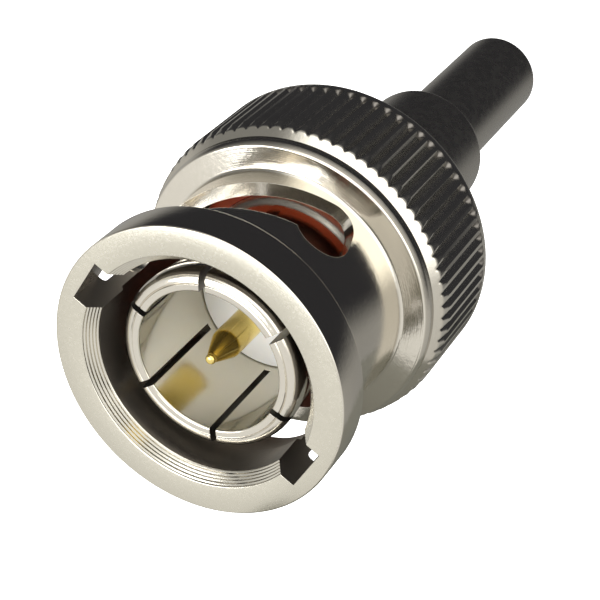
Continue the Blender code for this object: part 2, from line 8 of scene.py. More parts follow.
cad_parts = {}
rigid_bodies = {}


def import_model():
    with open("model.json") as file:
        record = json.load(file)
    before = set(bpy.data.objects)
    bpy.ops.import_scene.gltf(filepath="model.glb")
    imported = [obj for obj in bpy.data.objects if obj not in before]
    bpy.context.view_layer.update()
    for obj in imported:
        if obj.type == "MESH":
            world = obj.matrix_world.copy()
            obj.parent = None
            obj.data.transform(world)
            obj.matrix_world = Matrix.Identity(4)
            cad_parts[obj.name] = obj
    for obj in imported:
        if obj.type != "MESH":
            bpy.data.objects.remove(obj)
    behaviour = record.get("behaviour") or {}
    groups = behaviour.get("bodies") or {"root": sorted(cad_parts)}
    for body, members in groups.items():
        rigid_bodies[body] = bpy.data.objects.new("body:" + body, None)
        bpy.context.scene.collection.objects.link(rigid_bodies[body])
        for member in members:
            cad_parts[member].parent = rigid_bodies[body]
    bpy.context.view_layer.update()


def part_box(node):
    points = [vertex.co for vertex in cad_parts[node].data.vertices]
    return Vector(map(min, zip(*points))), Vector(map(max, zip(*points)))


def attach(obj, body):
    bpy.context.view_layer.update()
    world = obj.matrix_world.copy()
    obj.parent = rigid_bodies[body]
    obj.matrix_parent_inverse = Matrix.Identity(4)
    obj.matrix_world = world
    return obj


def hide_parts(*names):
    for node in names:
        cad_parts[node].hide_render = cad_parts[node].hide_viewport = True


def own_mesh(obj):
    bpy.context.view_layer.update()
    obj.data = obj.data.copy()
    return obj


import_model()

# The camera. It looks down into the plug's mouth from close by, and is rolled so that the ferrule points to
# the upper right. Places are in metres from the centre of the ferrule's rear end.
CAMERA_PLACE = (0.0049345, 0.0456423, 0.0831055)
CAMERA_TURN = (-30.2333, 26.1588, 32.0906)      # degrees about X, Y and Z
CAMERA_LENS = 99.0
CAMERA_SENSOR = 36.0
NEAREST_SEEN = 0.005
FARTHEST_SEEN = 5.0

camera = bpy.data.objects.new("camera", bpy.data.cameras.new("camera"))
camera.data.lens = CAMERA_LENS
camera.data.sensor_width = CAMERA_SENSOR
camera.data.clip_start = NEAREST_SEEN
camera.data.clip_end = FARTHEST_SEEN
camera.location = CAMERA_PLACE
camera.rotation_euler = [math.radians(turn) for turn in CAMERA_TURN]
bpy.context.scene.collection.objects.link(camera)
bpy.context.scene.camera = camera

# The crimp ferrule: a thin drawn tube, satin nickel plated, that is pushed over the stem and squeezed once
# on the cable's braid. Every turned piece is made as this one is: (radius, depth, round) corners in
# millimetres, with depth counted down from the nut's face, are turned about the axis.
MM = 0.001
FACE_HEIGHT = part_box("coupling_nut")[1].z
FERRULE_OUTER = 2.24
FERRULE_INNER = 1.72
FERRULE_FRONT = 24.19
FERRULE_REAR = 34.86
FERRULE_ROUND = 0.12
FINE_SIDES = 128
ROUND_STEPS = 4
SAME_PLACE = 1e-8           # metres between two vertices that are taken as one
ON_AXIS = 1e-9              # metres from the axis that still count as on it
SHARP_ANGLE = math.radians(35.0)
GRAIN_RANGE = (0.35, 0.65)              # the part of the grain's noise that counts
ROUGHNESS_RANGE = (0.93, 1.10)          # as shares of a metal's roughness
STAIN_SHARE = 0.95                      # of the colour that is left where the plating is dullest
GROOVE_DETAIL = 3.0
GROOVE_BREAKUP = 0.6                    # how much the finer grooves count
GRAIN_DETAIL = 4.0
EDGE_SAMPLES = 6


def turned(outline, sides, sweep=2 * math.pi):
    """A mesh turned from corners (radius, depth, round), each corner rounded by its own amount."""
    mesh = bmesh.new()
    corners = [mesh.verts.new((radius * MM, 0.0, FACE_HEIGHT - depth * MM)) for radius, depth, _ in outline]
    mesh.faces.new(corners)
    by_round = {}
    for corner, (_, _, size) in zip(corners, outline):
        by_round.setdefault(size, []).append(corner)
    for size, group in by_round.items():
        if size > 0.0:
            bmesh.ops.bevel(mesh, geom=group, offset=size * MM, offset_type="OFFSET", segments=ROUND_STEPS,
                            profile=0.5, affect="VERTICES", clamp_overlap=True, material=-1)
    full = math.isclose(sweep, 2 * math.pi)
    section = mesh.faces[:]
    if full:
        bmesh.ops.delete(mesh, geom=section, context="FACES_ONLY")
        on_axis = [edge for edge in mesh.edges if all(vert.co.x < ON_AXIS for vert in edge.verts)]
        bmesh.ops.delete(mesh, geom=on_axis, context="EDGES")
        section = []
    bmesh.ops.spin(mesh, geom=mesh.verts[:] + mesh.edges[:] + section, cent=(0, 0, 0), axis=(0, 0, 1),
                   angle=sweep, steps=sides, use_merge=full)
    bmesh.ops.remove_doubles(mesh, verts=mesh.verts, dist=SAME_PLACE)
    bmesh.ops.recalc_face_normals(mesh, faces=mesh.faces)
    return mesh


def finished(name, mesh, material, body):
    """Link a mesh as a piece that stands for the node of its name, with smooth faces between sharp edges."""
    data = bpy.data.meshes.new(name)
    mesh.to_mesh(data)
    mesh.free()
    data.shade_smooth()
    data.set_sharp_from_angle(angle=SHARP_ANGLE)
    data.materials.append(material)
    piece = bpy.data.objects.new(name + "_fine", data)
    bpy.context.scene.collection.objects.link(piece)
    weighted = piece.modifiers.new("weighted_normals", "WEIGHTED_NORMAL")
    weighted.keep_sharp = True
    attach(piece, body)
    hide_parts(name)
    return piece


def turned_metal(name, colour, roughness, grooves, grain, edge=0.04):
    """Plated metal with the lathe's fine grooves round the axis and a little grain over them.

    The grooves are noise that changes with radius and height only, so they run round every turned face.
    Grooves and grain are each (size, depth), and edge is the round of its sharp edges, all in millimetres.
    """
    material = bpy.data.materials.new(name)
    material.use_nodes = True
    nodes, links = material.node_tree.nodes, material.node_tree.links
    shader = nodes["Principled BSDF"]
    shader.inputs["Metallic"].default_value = 1.0
    place = nodes.new("ShaderNodeTexCoord").outputs["Object"]
    split = nodes.new("ShaderNodeSeparateXYZ")
    links.new(place, split.inputs[0])
    flat = nodes.new("ShaderNodeCombineXYZ")
    links.new(split.outputs["X"], flat.inputs["X"])
    links.new(split.outputs["Y"], flat.inputs["Y"])
    radius = nodes.new("ShaderNodeVectorMath")
    radius.operation = "LENGTH"
    links.new(flat.outputs[0], radius.inputs[0])
    ring = nodes.new("ShaderNodeCombineXYZ")
    links.new(radius.outputs["Value"], ring.inputs["X"])
    links.new(split.outputs["Z"], ring.inputs["Y"])
    lathe = nodes.new("ShaderNodeTexNoise")
    lathe.inputs["Scale"].default_value = 1.0 / (grooves[0] * MM)
    lathe.inputs["Detail"].default_value = GROOVE_DETAIL
    lathe.inputs["Roughness"].default_value = GROOVE_BREAKUP
    links.new(ring.outputs[0], lathe.inputs["Vector"])
    speckle = nodes.new("ShaderNodeTexNoise")
    speckle.inputs["Scale"].default_value = 1.0 / (grain[0] * MM)
    speckle.inputs["Detail"].default_value = GRAIN_DETAIL
    links.new(place, speckle.inputs["Vector"])
    tone = nodes.new("ShaderNodeMapRange")
    tone.inputs["From Min"].default_value = GRAIN_RANGE[0]
    tone.inputs["From Max"].default_value = GRAIN_RANGE[1]
    tone.inputs["To Min"].default_value = roughness * ROUGHNESS_RANGE[0]
    tone.inputs["To Max"].default_value = roughness * ROUGHNESS_RANGE[1]
    links.new(speckle.outputs["Fac"], tone.inputs["Value"])
    links.new(tone.outputs["Result"], shader.inputs["Roughness"])
    stain = nodes.new("ShaderNodeMix")
    stain.data_type = "RGBA"
    stain.inputs["A"].default_value = (*[channel * STAIN_SHARE for channel in colour], 1.0)
    stain.inputs["B"].default_value = (*colour, 1.0)
    links.new(speckle.outputs["Fac"], stain.inputs["Factor"])
    links.new(stain.outputs["Result"], shader.inputs["Base Color"])
    rounded = nodes.new("ShaderNodeBevel")
    rounded.samples = EDGE_SAMPLES
    rounded.inputs["Radius"].default_value = edge * MM
    turning = nodes.new("ShaderNodeBump")
    turning.inputs["Distance"].default_value = grooves[1] * MM
    links.new(lathe.outputs["Fac"], turning.inputs["Height"])
    links.new(rounded.outputs["Normal"], turning.inputs["Normal"])
    pitting = nodes.new("ShaderNodeBump")
    pitting.inputs["Distance"].default_value = grain[1] * MM
    links.new(speckle.outputs["Fac"], pitting.inputs["Height"])
    links.new(turning.outputs["Normal"], pitting.inputs["Normal"])
    links.new(pitting.outputs["Normal"], shader.inputs["Normal"])
    return material


satin_nickel = turned_metal("satin_nickel", (0.48, 0.46, 0.42), 0.27, (0.05, 0.0010), (0.40, 0.0002))
ferrule_outline = [(FERRULE_INNER, FERRULE_FRONT, 0.05), (FERRULE_OUTER, FERRULE_FRONT, FERRULE_ROUND),
                   (FERRULE_OUTER, FERRULE_REAR, FERRULE_ROUND), (FERRULE_INNER, FERRULE_REAR, 0.05)]
finished("crimp_ferrule", turned(ferrule_outline, FINE_SIDES), satin_nickel, "plug_body")

# The rear body: one turned piece with a spigot that is pressed into the sleeve's tail, the plain hub seen
# behind the nut, and the barbed stem inside the ferrule. It is bored for the cable's inner insulation.
SPIGOT_RADIUS = 2.43
SPIGOT_FRONT = 11.36
HUB_RADIUS = 3.21
HUB_FRONT = 14.91
HUB_REAR = 24.17
HUB_ROUND = 0.40
CHAMBER_RADIUS = 1.50
CHAMBER_REAR = 15.41
STEM_RADIUS = 1.20
STEM_BORE = 0.85
STEM_REAR = 33.87
BARB_COUNT = 5
BARB_RISE = 0.10
BARB_LEAD = 0.02
BARB_PITCH = 1.20
BARB_NOSE = 0.15

body_outline = [(CHAMBER_RADIUS, SPIGOT_FRONT, 0.05), (SPIGOT_RADIUS, SPIGOT_FRONT, 0.05),
                (SPIGOT_RADIUS, HUB_FRONT, 0.0), (HUB_RADIUS, HUB_FRONT, 0.04),
                (HUB_RADIUS, HUB_REAR, HUB_ROUND), (STEM_RADIUS, HUB_REAR, 0.0)]
barbs_front = STEM_REAR - BARB_NOSE - BARB_COUNT * BARB_PITCH
for number in range(BARB_COUNT):
    barb_front = barbs_front + number * BARB_PITCH
    body_outline += [(STEM_RADIUS, barb_front, 0.0), (STEM_RADIUS + BARB_RISE, barb_front + BARB_LEAD, 0.0)]
body_outline += [(STEM_RADIUS, STEM_REAR - BARB_NOSE, 0.0), (STEM_RADIUS - BARB_NOSE, STEM_REAR, 0.0),
                 (STEM_BORE, STEM_REAR, 0.04), (STEM_BORE, CHAMBER_REAR, 0.0),
                 (CHAMBER_RADIUS, CHAMBER_REAR, 0.0)]
finished("rear_body", turned(body_outline, FINE_SIDES), satin_nickel, "plug_body")

# The centre pin: brass, turned and gold plated, with a small round nub on a cone, and a collar that the two
# insulators hold. Its hollow barrel is crimped on the wire behind.
PIN_RADIUS = 0.675
PIN_TIP = 1.20
NUB_RADIUS = 0.23
CONE_FRONT = 1.45
CONE_REAR = 2.65
COLLAR_RADIUS = 1.005
COLLAR_FRONT = 8.67
COLLAR_REAR = 9.32
BARREL_RADIUS = 0.80
BARREL_REAR = 13.92
BARREL_BORE = 0.26
BARREL_BORE_FRONT = 10.52
DRILL_POINT = 0.13
PIN_SIDES = 64

gold_plate = turned_metal("gold_plate", (0.90, 0.71, 0.25), 0.20, (0.03, 0.0006), (0.20, 0.0003))
pin_outline = [(0.0, PIN_TIP, 0.0), (NUB_RADIUS, PIN_TIP, 0.16), (NUB_RADIUS, CONE_FRONT, 0.03),
               (PIN_RADIUS, CONE_REAR, 0.10), (PIN_RADIUS, COLLAR_FRONT, 0.0),
               (COLLAR_RADIUS, COLLAR_FRONT, 0.03), (COLLAR_RADIUS, COLLAR_REAR, 0.03),
               (BARREL_RADIUS, COLLAR_REAR, 0.0), (BARREL_RADIUS, BARREL_REAR, 0.03),
               (BARREL_BORE, BARREL_REAR, 0.03), (BARREL_BORE, BARREL_BORE_FRONT, 0.0),
               (0.0, BARREL_BORE_FRONT - DRILL_POINT, 0.0)]
finished("centre_pin", turned(pin_outline, PIN_SIDES), gold_plate, "plug_body")

# The two insulators: white fluoropolymer bushes, turned from bar. The front one's face is the floor of the
# finger bore, and the rear one's nose holds the pin's collar in the front one's pocket.
INSULATOR_RADIUS = 3.22
INSULATOR_FRONT = 6.44
INSULATOR_REAR = 10.20
PIN_HOLE = 0.695
POCKET_RADIUS = 1.025
POCKET_FRONT = 8.65
REAR_BUSH_RADIUS = 2.43
REAR_BUSH_NOSE = 9.34
REAR_BUSH_FRONT = 10.24
REAR_BUSH_REAR = 11.34
BARREL_HOLE = 0.82


def cloudy(name, dark, light, roughness, glow_share, glow_reach, cloud, skin_depth):
    """Slightly translucent rubber or plastic with a faint cloudy skin.

    The cloud is its noise's (scale, detail). The light's reach under the skin is in metres for each colour,
    and the skin's depth is in millimetres.
    """
    material = bpy.data.materials.new(name)
    material.use_nodes = True
    nodes, links = material.node_tree.nodes, material.node_tree.links
    shader = nodes["Principled BSDF"]
    shader.inputs["Roughness"].default_value = roughness
    shader.inputs["Subsurface Weight"].default_value = glow_share
    shader.inputs["Subsurface Radius"].default_value = glow_reach
    noise = nodes.new("ShaderNodeTexNoise")
    noise.inputs["Scale"].default_value = cloud[0]
    noise.inputs["Detail"].default_value = cloud[1]
    links.new(nodes.new("ShaderNodeTexCoord").outputs["Object"], noise.inputs["Vector"])
    tone = nodes.new("ShaderNodeMix")
    tone.data_type = "RGBA"
    tone.inputs["A"].default_value = (*dark, 1.0)
    tone.inputs["B"].default_value = (*light, 1.0)
    links.new(noise.outputs["Fac"], tone.inputs["Factor"])
    links.new(tone.outputs["Result"], shader.inputs["Base Color"])
    skin = nodes.new("ShaderNodeBump")
    skin.inputs["Distance"].default_value = skin_depth * MM
    links.new(noise.outputs["Fac"], skin.inputs["Height"])
    links.new(skin.outputs["Normal"], shader.inputs["Normal"])
    return material


white_fluoropolymer = cloudy("white_fluoropolymer", (0.88, 0.88, 0.88), (0.95, 0.95, 0.95), 0.38, 0.25,
                             (0.0006, 0.0005, 0.0004), (900.0, 3.0), 0.002)
front_bush = [(PIN_HOLE, INSULATOR_FRONT, 0.04), (INSULATOR_RADIUS, INSULATOR_FRONT, 0.08),
              (INSULATOR_RADIUS, INSULATOR_REAR, 0.0), (POCKET_RADIUS, INSULATOR_REAR, 0.0),
              (POCKET_RADIUS, POCKET_FRONT, 0.0), (PIN_HOLE, POCKET_FRONT, 0.0)]
rear_bush = [(BARREL_HOLE, REAR_BUSH_NOSE, 0.0), (COLLAR_RADIUS, REAR_BUSH_NOSE, 0.0),
             (COLLAR_RADIUS, REAR_BUSH_FRONT, 0.0), (REAR_BUSH_RADIUS, REAR_BUSH_FRONT, 0.0),
             (REAR_BUSH_RADIUS, REAR_BUSH_REAR, 0.0), (BARREL_HOLE, REAR_BUSH_REAR, 0.0)]
for name, outline in (("front_insulator", front_bush), ("rear_insulator", rear_bush)):
    finished(name, turned(outline, FINE_SIDES), white_fluoropolymer, "plug_body")

# The contact sleeve: turned from brass, slotted into six spring fingers with a bead round their tips, and
# bright nickel plated. It carries the gasket's seat, the flange and the tail that the nut turns on.
TIP_DEPTH = 1.06
FINGER_BORE = 3.24
FINGER_RADIUS = 3.95
BEAD_RADIUS = 4.08
BEAD_REAR = 2.01
BEAD_TAPER_REAR = 2.61
TIP_MARK_RADIUS = 3.60
TIP_MARK_SIZE = 0.05
TIP_MARK_STEP = 0.01
FLARE_FRONT = 8.08
FLARE_RADIUS = 4.14
FLARE_REAR = 8.29
SEAT_RADIUS = 4.17
SEAT_FRONT = 8.60
BODY_FLANGE_RADIUS = 4.85
BODY_FLANGE_FRONT = 9.62
BODY_FLANGE_REAR = 10.92
TAIL_RADIUS = 3.21
TAIL_REAR = 14.89
TAIL_BORE = 2.45
TAIL_BORE_FRONT = 10.22
RING_SEAT_RADIUS = 2.81
RING_SEAT_FRONT = 13.10
RING_SEAT_REAR = 13.59
FINGER_COUNT = 6
SLOT_WIDTH = 0.30
SLOT_END = 6.10
SLOT_REACH = 4.60
SLOT_TURN = 4.5             # degrees from the nut's entry notch
SLEEVE_SIDES = 240
TOOL_LEAD = 0.50            # of a straight tool before the face that it cuts
ANY = (-99.0, 99.0)

bright_nickel = turned_metal("bright_nickel", (0.74, 0.70, 0.62), 0.13, (0.07, 0.0026), (0.20, 0.0030), 0.02)
finger_bore_nickel = turned_metal("finger_bore_nickel", (0.64, 0.61, 0.52), 0.13, (0.08, 0.0012),
                                  (0.25, 0.0012))
# Painted highlight: a near-white nickel that makes the sleeve's flare in the cam slots read as a bright
# band.
painted_highlight_nickel = turned_metal("painted_highlight_nickel", (0.98, 0.95, 0.86), 0.52, (0.10, 0.0040), (0.15, 0.0080))
# Painted shade: a nearly black nickel that darkens the finger slots, the nut's bore, the notches' side walls
# and the knurl's run-outs, where shade falls, and dims their glints.
painted_shade_nickel = turned_metal("painted_shade_nickel", (0.20, 0.185, 0.17), 0.36, (0.08, 0.0020), (0.12, 0.0020))


def refinish(piece, finish, radii=ANY, depths=ANY, outward=ANY, forward=ANY):
    """Give another finish, or a painted shade or highlight, to the faces whose middle and normal lie inside
    all of the ranges.

    Radii and depths are in millimetres. Outward and forward are how far the normal points away from the axis
    and to the mouth, from -1 to 1.
    """
    piece.data.materials.append(finish)
    index = len(piece.data.materials) - 1
    for face in piece.data.polygons:
        radius = math.hypot(face.center.x, face.center.y)
        depth = (FACE_HEIGHT - face.center.z) / MM
        away = (face.normal.x * face.center.x + face.normal.y * face.center.y) / max(radius, ON_AXIS)
        measures = ((radius / MM, radii), (depth, depths), (away, outward), (face.normal.z, forward))
        if all(low < value < high for value, (low, high) in measures):
            face.material_index = index


def cut_out(piece, tools):
    """Take the tools' shapes out of a piece for good, then drop the tools."""
    held = bpy.data.collections.new("tools")
    for tool in tools:
        data = bpy.data.meshes.new("tool")
        bmesh.ops.recalc_face_normals(tool, faces=tool.faces)
        tool.to_mesh(data)
        tool.free()
        held.objects.link(bpy.data.objects.new("tool", data))
    bpy.context.scene.collection.children.link(held)
    weighted = piece.modifiers[0]
    weighted.show_viewport = False
    cutting = piece.modifiers.new("cut", "BOOLEAN")
    cutting.operation = "DIFFERENCE"
    cutting.solver = "EXACT"
    cutting.operand_type = "COLLECTION"
    cutting.collection = held
    shown = piece.evaluated_get(bpy.context.evaluated_depsgraph_get())
    before = piece.data
    piece.data = bpy.data.meshes.new_from_object(shown)
    piece.modifiers.remove(cutting)
    weighted.show_viewport = True
    bpy.data.meshes.remove(before)
    for tool in list(held.objects):
        bpy.data.objects.remove(tool)
    bpy.data.collections.remove(held)
    piece.data.shade_smooth()
    piece.data.set_sharp_from_angle(angle=SHARP_ANGLE)


def bar(reach, width, front, rear, turn=0.0):
    """A straight tool across the axis, from depth front to depth rear."""
    mesh = bmesh.new()
    bmesh.ops.create_cube(mesh, size=MM)
    bmesh.ops.scale(mesh, vec=(2 * reach, width, rear - front), verts=mesh.verts)
    bmesh.ops.translate(mesh, vec=(0, 0, FACE_HEIGHT - (front + rear) / 2 * MM), verts=mesh.verts)
    bmesh.ops.rotate(mesh, cent=(0, 0, 0), matrix=Matrix.Rotation(turn, 3, "Z"), verts=mesh.verts)
    return mesh


sleeve_outline = [(FINGER_BORE, TIP_DEPTH, 0.10), (TIP_MARK_RADIUS - TIP_MARK_SIZE, TIP_DEPTH, 0.0),
                  (TIP_MARK_RADIUS, TIP_DEPTH + TIP_MARK_SIZE, 0.0),
                  (TIP_MARK_RADIUS + TIP_MARK_SIZE, TIP_DEPTH + TIP_MARK_STEP, 0.0),
                  (BEAD_RADIUS, TIP_DEPTH, 0.42), (BEAD_RADIUS, BEAD_REAR, 0.20),
                  (FINGER_RADIUS, BEAD_TAPER_REAR, 0.10), (FINGER_RADIUS, FLARE_FRONT, 0.03),
                  (FLARE_RADIUS, FLARE_REAR, 0.06), (SEAT_RADIUS, SEAT_FRONT, 0.0),
                  (SEAT_RADIUS, BODY_FLANGE_FRONT, 0.0), (BODY_FLANGE_RADIUS, BODY_FLANGE_FRONT, 0.04),
                  (BODY_FLANGE_RADIUS, BODY_FLANGE_REAR, 0.04), (TAIL_RADIUS, BODY_FLANGE_REAR, 0.0),
                  (TAIL_RADIUS, RING_SEAT_FRONT, 0.02), (RING_SEAT_RADIUS, RING_SEAT_FRONT, 0.0),
                  (RING_SEAT_RADIUS, RING_SEAT_REAR, 0.0), (TAIL_RADIUS, RING_SEAT_REAR, 0.02),
                  (TAIL_RADIUS, TAIL_REAR, 0.04), (TAIL_BORE, TAIL_REAR, 0.0),
                  (TAIL_BORE, TAIL_BORE_FRONT, 0.0), (FINGER_BORE, TAIL_BORE_FRONT, 0.0)]
sleeve = finished("outer_contact", turned(sleeve_outline, SLEEVE_SIDES), bright_nickel,
                  "plug_body")
slot_turns = [math.radians(SLOT_TURN + 360.0 / FINGER_COUNT * pair) for pair in range(FINGER_COUNT // 2)]
cut_out(sleeve, [bar(SLOT_REACH, SLOT_WIDTH, TIP_DEPTH - TOOL_LEAD, SLOT_END, turn) for turn in slot_turns])
refinish(sleeve, finger_bore_nickel, radii=(0.0, 3.3), outward=(-2.0, -0.5))
# Painted highlight on the sleeve's flare.
refinish(sleeve, painted_highlight_nickel, depths=(8.0, SEAT_FRONT), outward=(0.3, 2.0))
# Painted shade on the side walls of the slots between the fingers.
refinish(sleeve, painted_shade_nickel, depths=(0.0, 6.2), outward=(-0.3, 0.3), forward=(-0.3, 0.3))

# The gasket: a moulded silicone ring, red-brown, pushed over the fingers on to its seat against the flange.
# It seals on the jack's rim.
GASKET_BORE = 4.19
GASKET_RADIUS = 4.85
GASKET_FRONT = 8.60
GASKET_REAR = 9.60

red_silicone = cloudy("red_silicone", (0.50, 0.070, 0.022), (0.68, 0.120, 0.040), 0.45, 0.15,
                      (0.0005, 0.0001, 0.00005), (2500.0, 4.0), 0.004)
gasket_outline = [(GASKET_BORE, GASKET_FRONT, 0.0), (GASKET_RADIUS, GASKET_FRONT, 0.15),
                  (GASKET_RADIUS, GASKET_REAR, 0.0), (GASKET_BORE, GASKET_REAR, 0.0)]
finished("gasket", turned(gasket_outline, FINE_SIDES), red_silicone, "plug_body")

# The spring stack: a flat washer behind the sleeve's flange, two wave washers that draw the nut back, and a
# flat washer on the nut's lip. All are stamped from spring steel and slide on the tail. In the plug the
# waves flatten as the nut floats; here they keep their free shape.
WASHER_BORE = 3.30
WASHER_RADIUS = 4.75
WASHER_THICKNESS = 0.20
WASHER_FRONTS = {"front_washer": (10.94, "plug_body"), "rear_washer": (12.18, "spring_seat")}
WAVE_THICKNESS = 0.15
WAVE_HEIGHT = 0.68
WAVE_COUNT = 3
WAVE_FRONTS = {"wave_washer_front": 11.16, "wave_washer_rear": 11.33}

spring_steel = turned_metal("spring_steel", (0.52, 0.52, 0.51), 0.28, (0.08, 0.0010), (0.15, 0.0015))


def washer_mesh(front, thickness):
    """A flat ring whose front face lies at depth front."""
    outline = [(WASHER_BORE, front, 0.02), (WASHER_RADIUS, front, 0.02),
               (WASHER_RADIUS, front + thickness, 0.02), (WASHER_BORE, front + thickness, 0.02)]
    return turned(outline, FINE_SIDES)


for name, (front, body) in WASHER_FRONTS.items():
    finished(name, washer_mesh(front, WASHER_THICKNESS), spring_steel, body)
for name, front in WAVE_FRONTS.items():
    mesh = washer_mesh(front, WAVE_THICKNESS)
    for vert in mesh.verts:
        turn = math.atan2(vert.co.y, vert.co.x)
        vert.co.z -= WAVE_HEIGHT * MM * (1.0 - math.cos(WAVE_COUNT * turn)) / 2
    wave = finished(name, mesh, spring_steel, "plug_body")
    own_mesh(wave)

# The retaining ring: a split ring of spring steel, sprung into the tail's groove behind the nut's lip. It is
# the stop that the nut rests on.
RING_BORE = 2.83
RING_RADIUS = 3.83
RING_FRONT = 13.12
RING_REAR = 13.57
RING_SPLIT = 50.0           # degrees

ring_outline = [(RING_BORE, RING_FRONT, 0.03), (RING_RADIUS, RING_FRONT, 0.03),
                (RING_RADIUS, RING_REAR, 0.03), (RING_BORE, RING_REAR, 0.03)]
finished("retaining_ring", turned(ring_outline, FINE_SIDES, math.radians(360.0 - RING_SPLIT)), spring_steel,
         "plug_body")

# The coupling nut: turned from brass, knurled, milled with two entry notches and two cam slots for the
# jack's lugs, then bright nickel plated. Its inner lip turns on the sleeve's tail between the washers and
# the ring.
NUT_BORE = 4.90
RACE_RADIUS = 5.05
RACE_FRONTS = (2.25, 2.40)              # where the race's front taper starts and ends
RACE_REARS = (9.00, 9.15)
NECK_RADIUS = 5.65
FLANGE_RADIUS = 6.62
FLANGE_REAR = 1.90
NECK_REAR = 7.78
SHOULDER_RADIUS = 6.80
LAND_FRONT = 8.10
LAND_REAR = 8.45
LAND_RADIUS = 6.92
KNURL_RADIUS = 7.35
KNURL_EDGE = 7.22
KNURL_FRONT = 8.85
CROWN_REAR = 9.35
CHAMFER_RADIUS = 5.32
CHAMFER_REAR = 0.60
MOUTH_REAR = 0.64                       # of the chamfer with the round behind it
CHAMFER_MARKS = 5
CHAMFER_MARK_DEPTH = 0.028
CHAMFER_INTO_METAL = (0.82, 0.57)       # outward and to the rear, square to the chamfer
NUT_REAR = 13.83
RECESS_RADIUS = 4.08
LIP_BORE = 3.30
LIP_FRONT = 12.40
LIP_REAR = 13.10
KNURL_TEETH = 76
KNURL_DEPTH = 0.21
GROOVE_SHARE = 0.375        # half of a groove's width as a share of the pitch
GROOVE_FULL = 13.08
GROOVE_END = 13.33
NUT_SIDES = 8 * KNURL_TEETH
CONE_ROWS = 7
CROWN_ROWS = 4
RUNOUT_ROWS = 5
NOTCH_WIDTH = 2.15
NOTCH_REACH = 5.90
CAM_WIDTH = 2.50
CAM_FRONT = 3.95
CAM_REAR = 6.18
CAM_TURN = 90.0
DETENT_TURN = 92.0
DETENT_DEPTH = 5.48
CAM_STEP = 0.15
START_STEPS = 18            # in the quarter turn at the cam tool's start
BEND_STEPS = 12
END_STEPS = 32
SAME_POINT = 1e-6           # millimetres between two points of the flat path that are taken as one
TOOL_INSIDE = 0.30          # of the cam tool inside the nut's bore
TOOL_OUTSIDE = 0.60         # of the cam tool outside the neck


def rows(start, end, count):
    """Corners without a round, evenly spaced from start to end, without start itself."""
    shares = [row / count for row in range(1, count + 1)]
    return [(start[0] + share * (end[0] - start[0]), start[1] + share * (end[1] - start[1]), 0.0)
            for share in shares]


def knurled(mesh):
    """Press V grooves into the rim: they run out towards the rear and cross the cone in front."""
    pitch = 2 * math.pi / KNURL_TEETH
    for vert in mesh.verts:
        radius = math.hypot(vert.co.x, vert.co.y) / MM
        depth = (FACE_HEIGHT - vert.co.z) / MM
        if radius < SHOULDER_RADIUS or not LAND_REAR < depth < GROOVE_END:
            continue
        teeth = math.atan2(vert.co.y, vert.co.x) / pitch - 0.5
        off = abs(teeth - round(teeth))
        past = max(0.0, (depth - GROOVE_FULL) / (GROOVE_END - GROOVE_FULL))
        pressed = KNURL_RADIUS - KNURL_DEPTH * max(0.0, 1.0 - math.hypot(off / GROOVE_SHARE, past))
        if pressed < radius:
            vert.co.x *= pressed / radius
            vert.co.y *= pressed / radius


def cam_tool(notch):
    """The path of a round cutter over the neck: from the notch down the ramp, then back into the detent.

    The path is drawn flat, with arc length on the neck across and depth down, then wrapped round the neck.
    The ramp's inner edge runs straight into the detent's round.
    """
    half = CAM_WIDTH / 2
    places = ((0.0, CAM_FRONT), (CAM_TURN, CAM_REAR), (DETENT_TURN, DETENT_DEPTH))
    first, corner, last = (Vector((math.radians(turn) * NECK_RADIUS, depth)) for turn, depth in places)
    ramp = (corner - first).normalized()
    drop = (last - corner).normalized()
    ramp_side = Vector((-ramp.y, ramp.x))
    drop_side = Vector((-drop.y, drop.x))
    inner_start = first - ramp_side * half
    off_edge = (last - inner_start).dot(ramp_side)
    inner_run = (last - inner_start).dot(ramp) - math.sqrt(half ** 2 - off_edge ** 2)
    inner_corner = inner_start + ramp * inner_run
    stations = []
    for step in range(START_STEPS + 1):
        angle = math.radians(90.0 / START_STEPS * step)
        middle = first - ramp * half * math.cos(angle)
        reach = ramp_side * half * math.sin(angle)
        stations.append((middle + reach, middle - reach))
    steps = round(inner_run / CAM_STEP)
    for step in range(1, steps + 1):
        middle = first + ramp * inner_run * step / steps
        stations.append((middle + ramp_side * half, middle - ramp_side * half))
    for step in range(BEND_STEPS + 1):
        outward = ramp_side.slerp(drop_side, step / BEND_STEPS)
        stations.append((corner + outward * half, inner_corner))
    to_corner = inner_corner - last
    sweep = math.atan2(to_corner.dot(drop), to_corner.dot(drop_side))
    for step in range(END_STEPS):
        angle = sweep * step / END_STEPS
        stations.append((last + (drop_side * math.cos(angle) + drop * math.sin(angle)) * half, inner_corner))
    mesh = bmesh.new()
    lines = [[mesh.verts.new((point.x, point.y, 0.0)) for point in station] for station in stations]
    for near, far in zip(lines, lines[1:]):
        mesh.faces.new((near[0], far[0], far[1], near[1]))
    bmesh.ops.remove_doubles(mesh, verts=mesh.verts, dist=SAME_POINT)
    floor = mesh.verts[:]
    raised = bmesh.ops.extrude_face_region(mesh, geom=mesh.faces[:], use_keep_orig=True)
    roof = [item for item in raised["geom"] if isinstance(item, bmesh.types.BMVert)]
    for verts, radius in ((floor, NUT_BORE - TOOL_INSIDE), (roof, NECK_RADIUS + TOOL_OUTSIDE)):
        for vert in verts:
            turn = notch - vert.co.x / NECK_RADIUS
            vert.co = Vector((radius * math.cos(turn), radius * math.sin(turn), 0.0)) * MM \
                + Vector((0, 0, FACE_HEIGHT - vert.co.y * MM))
    return mesh


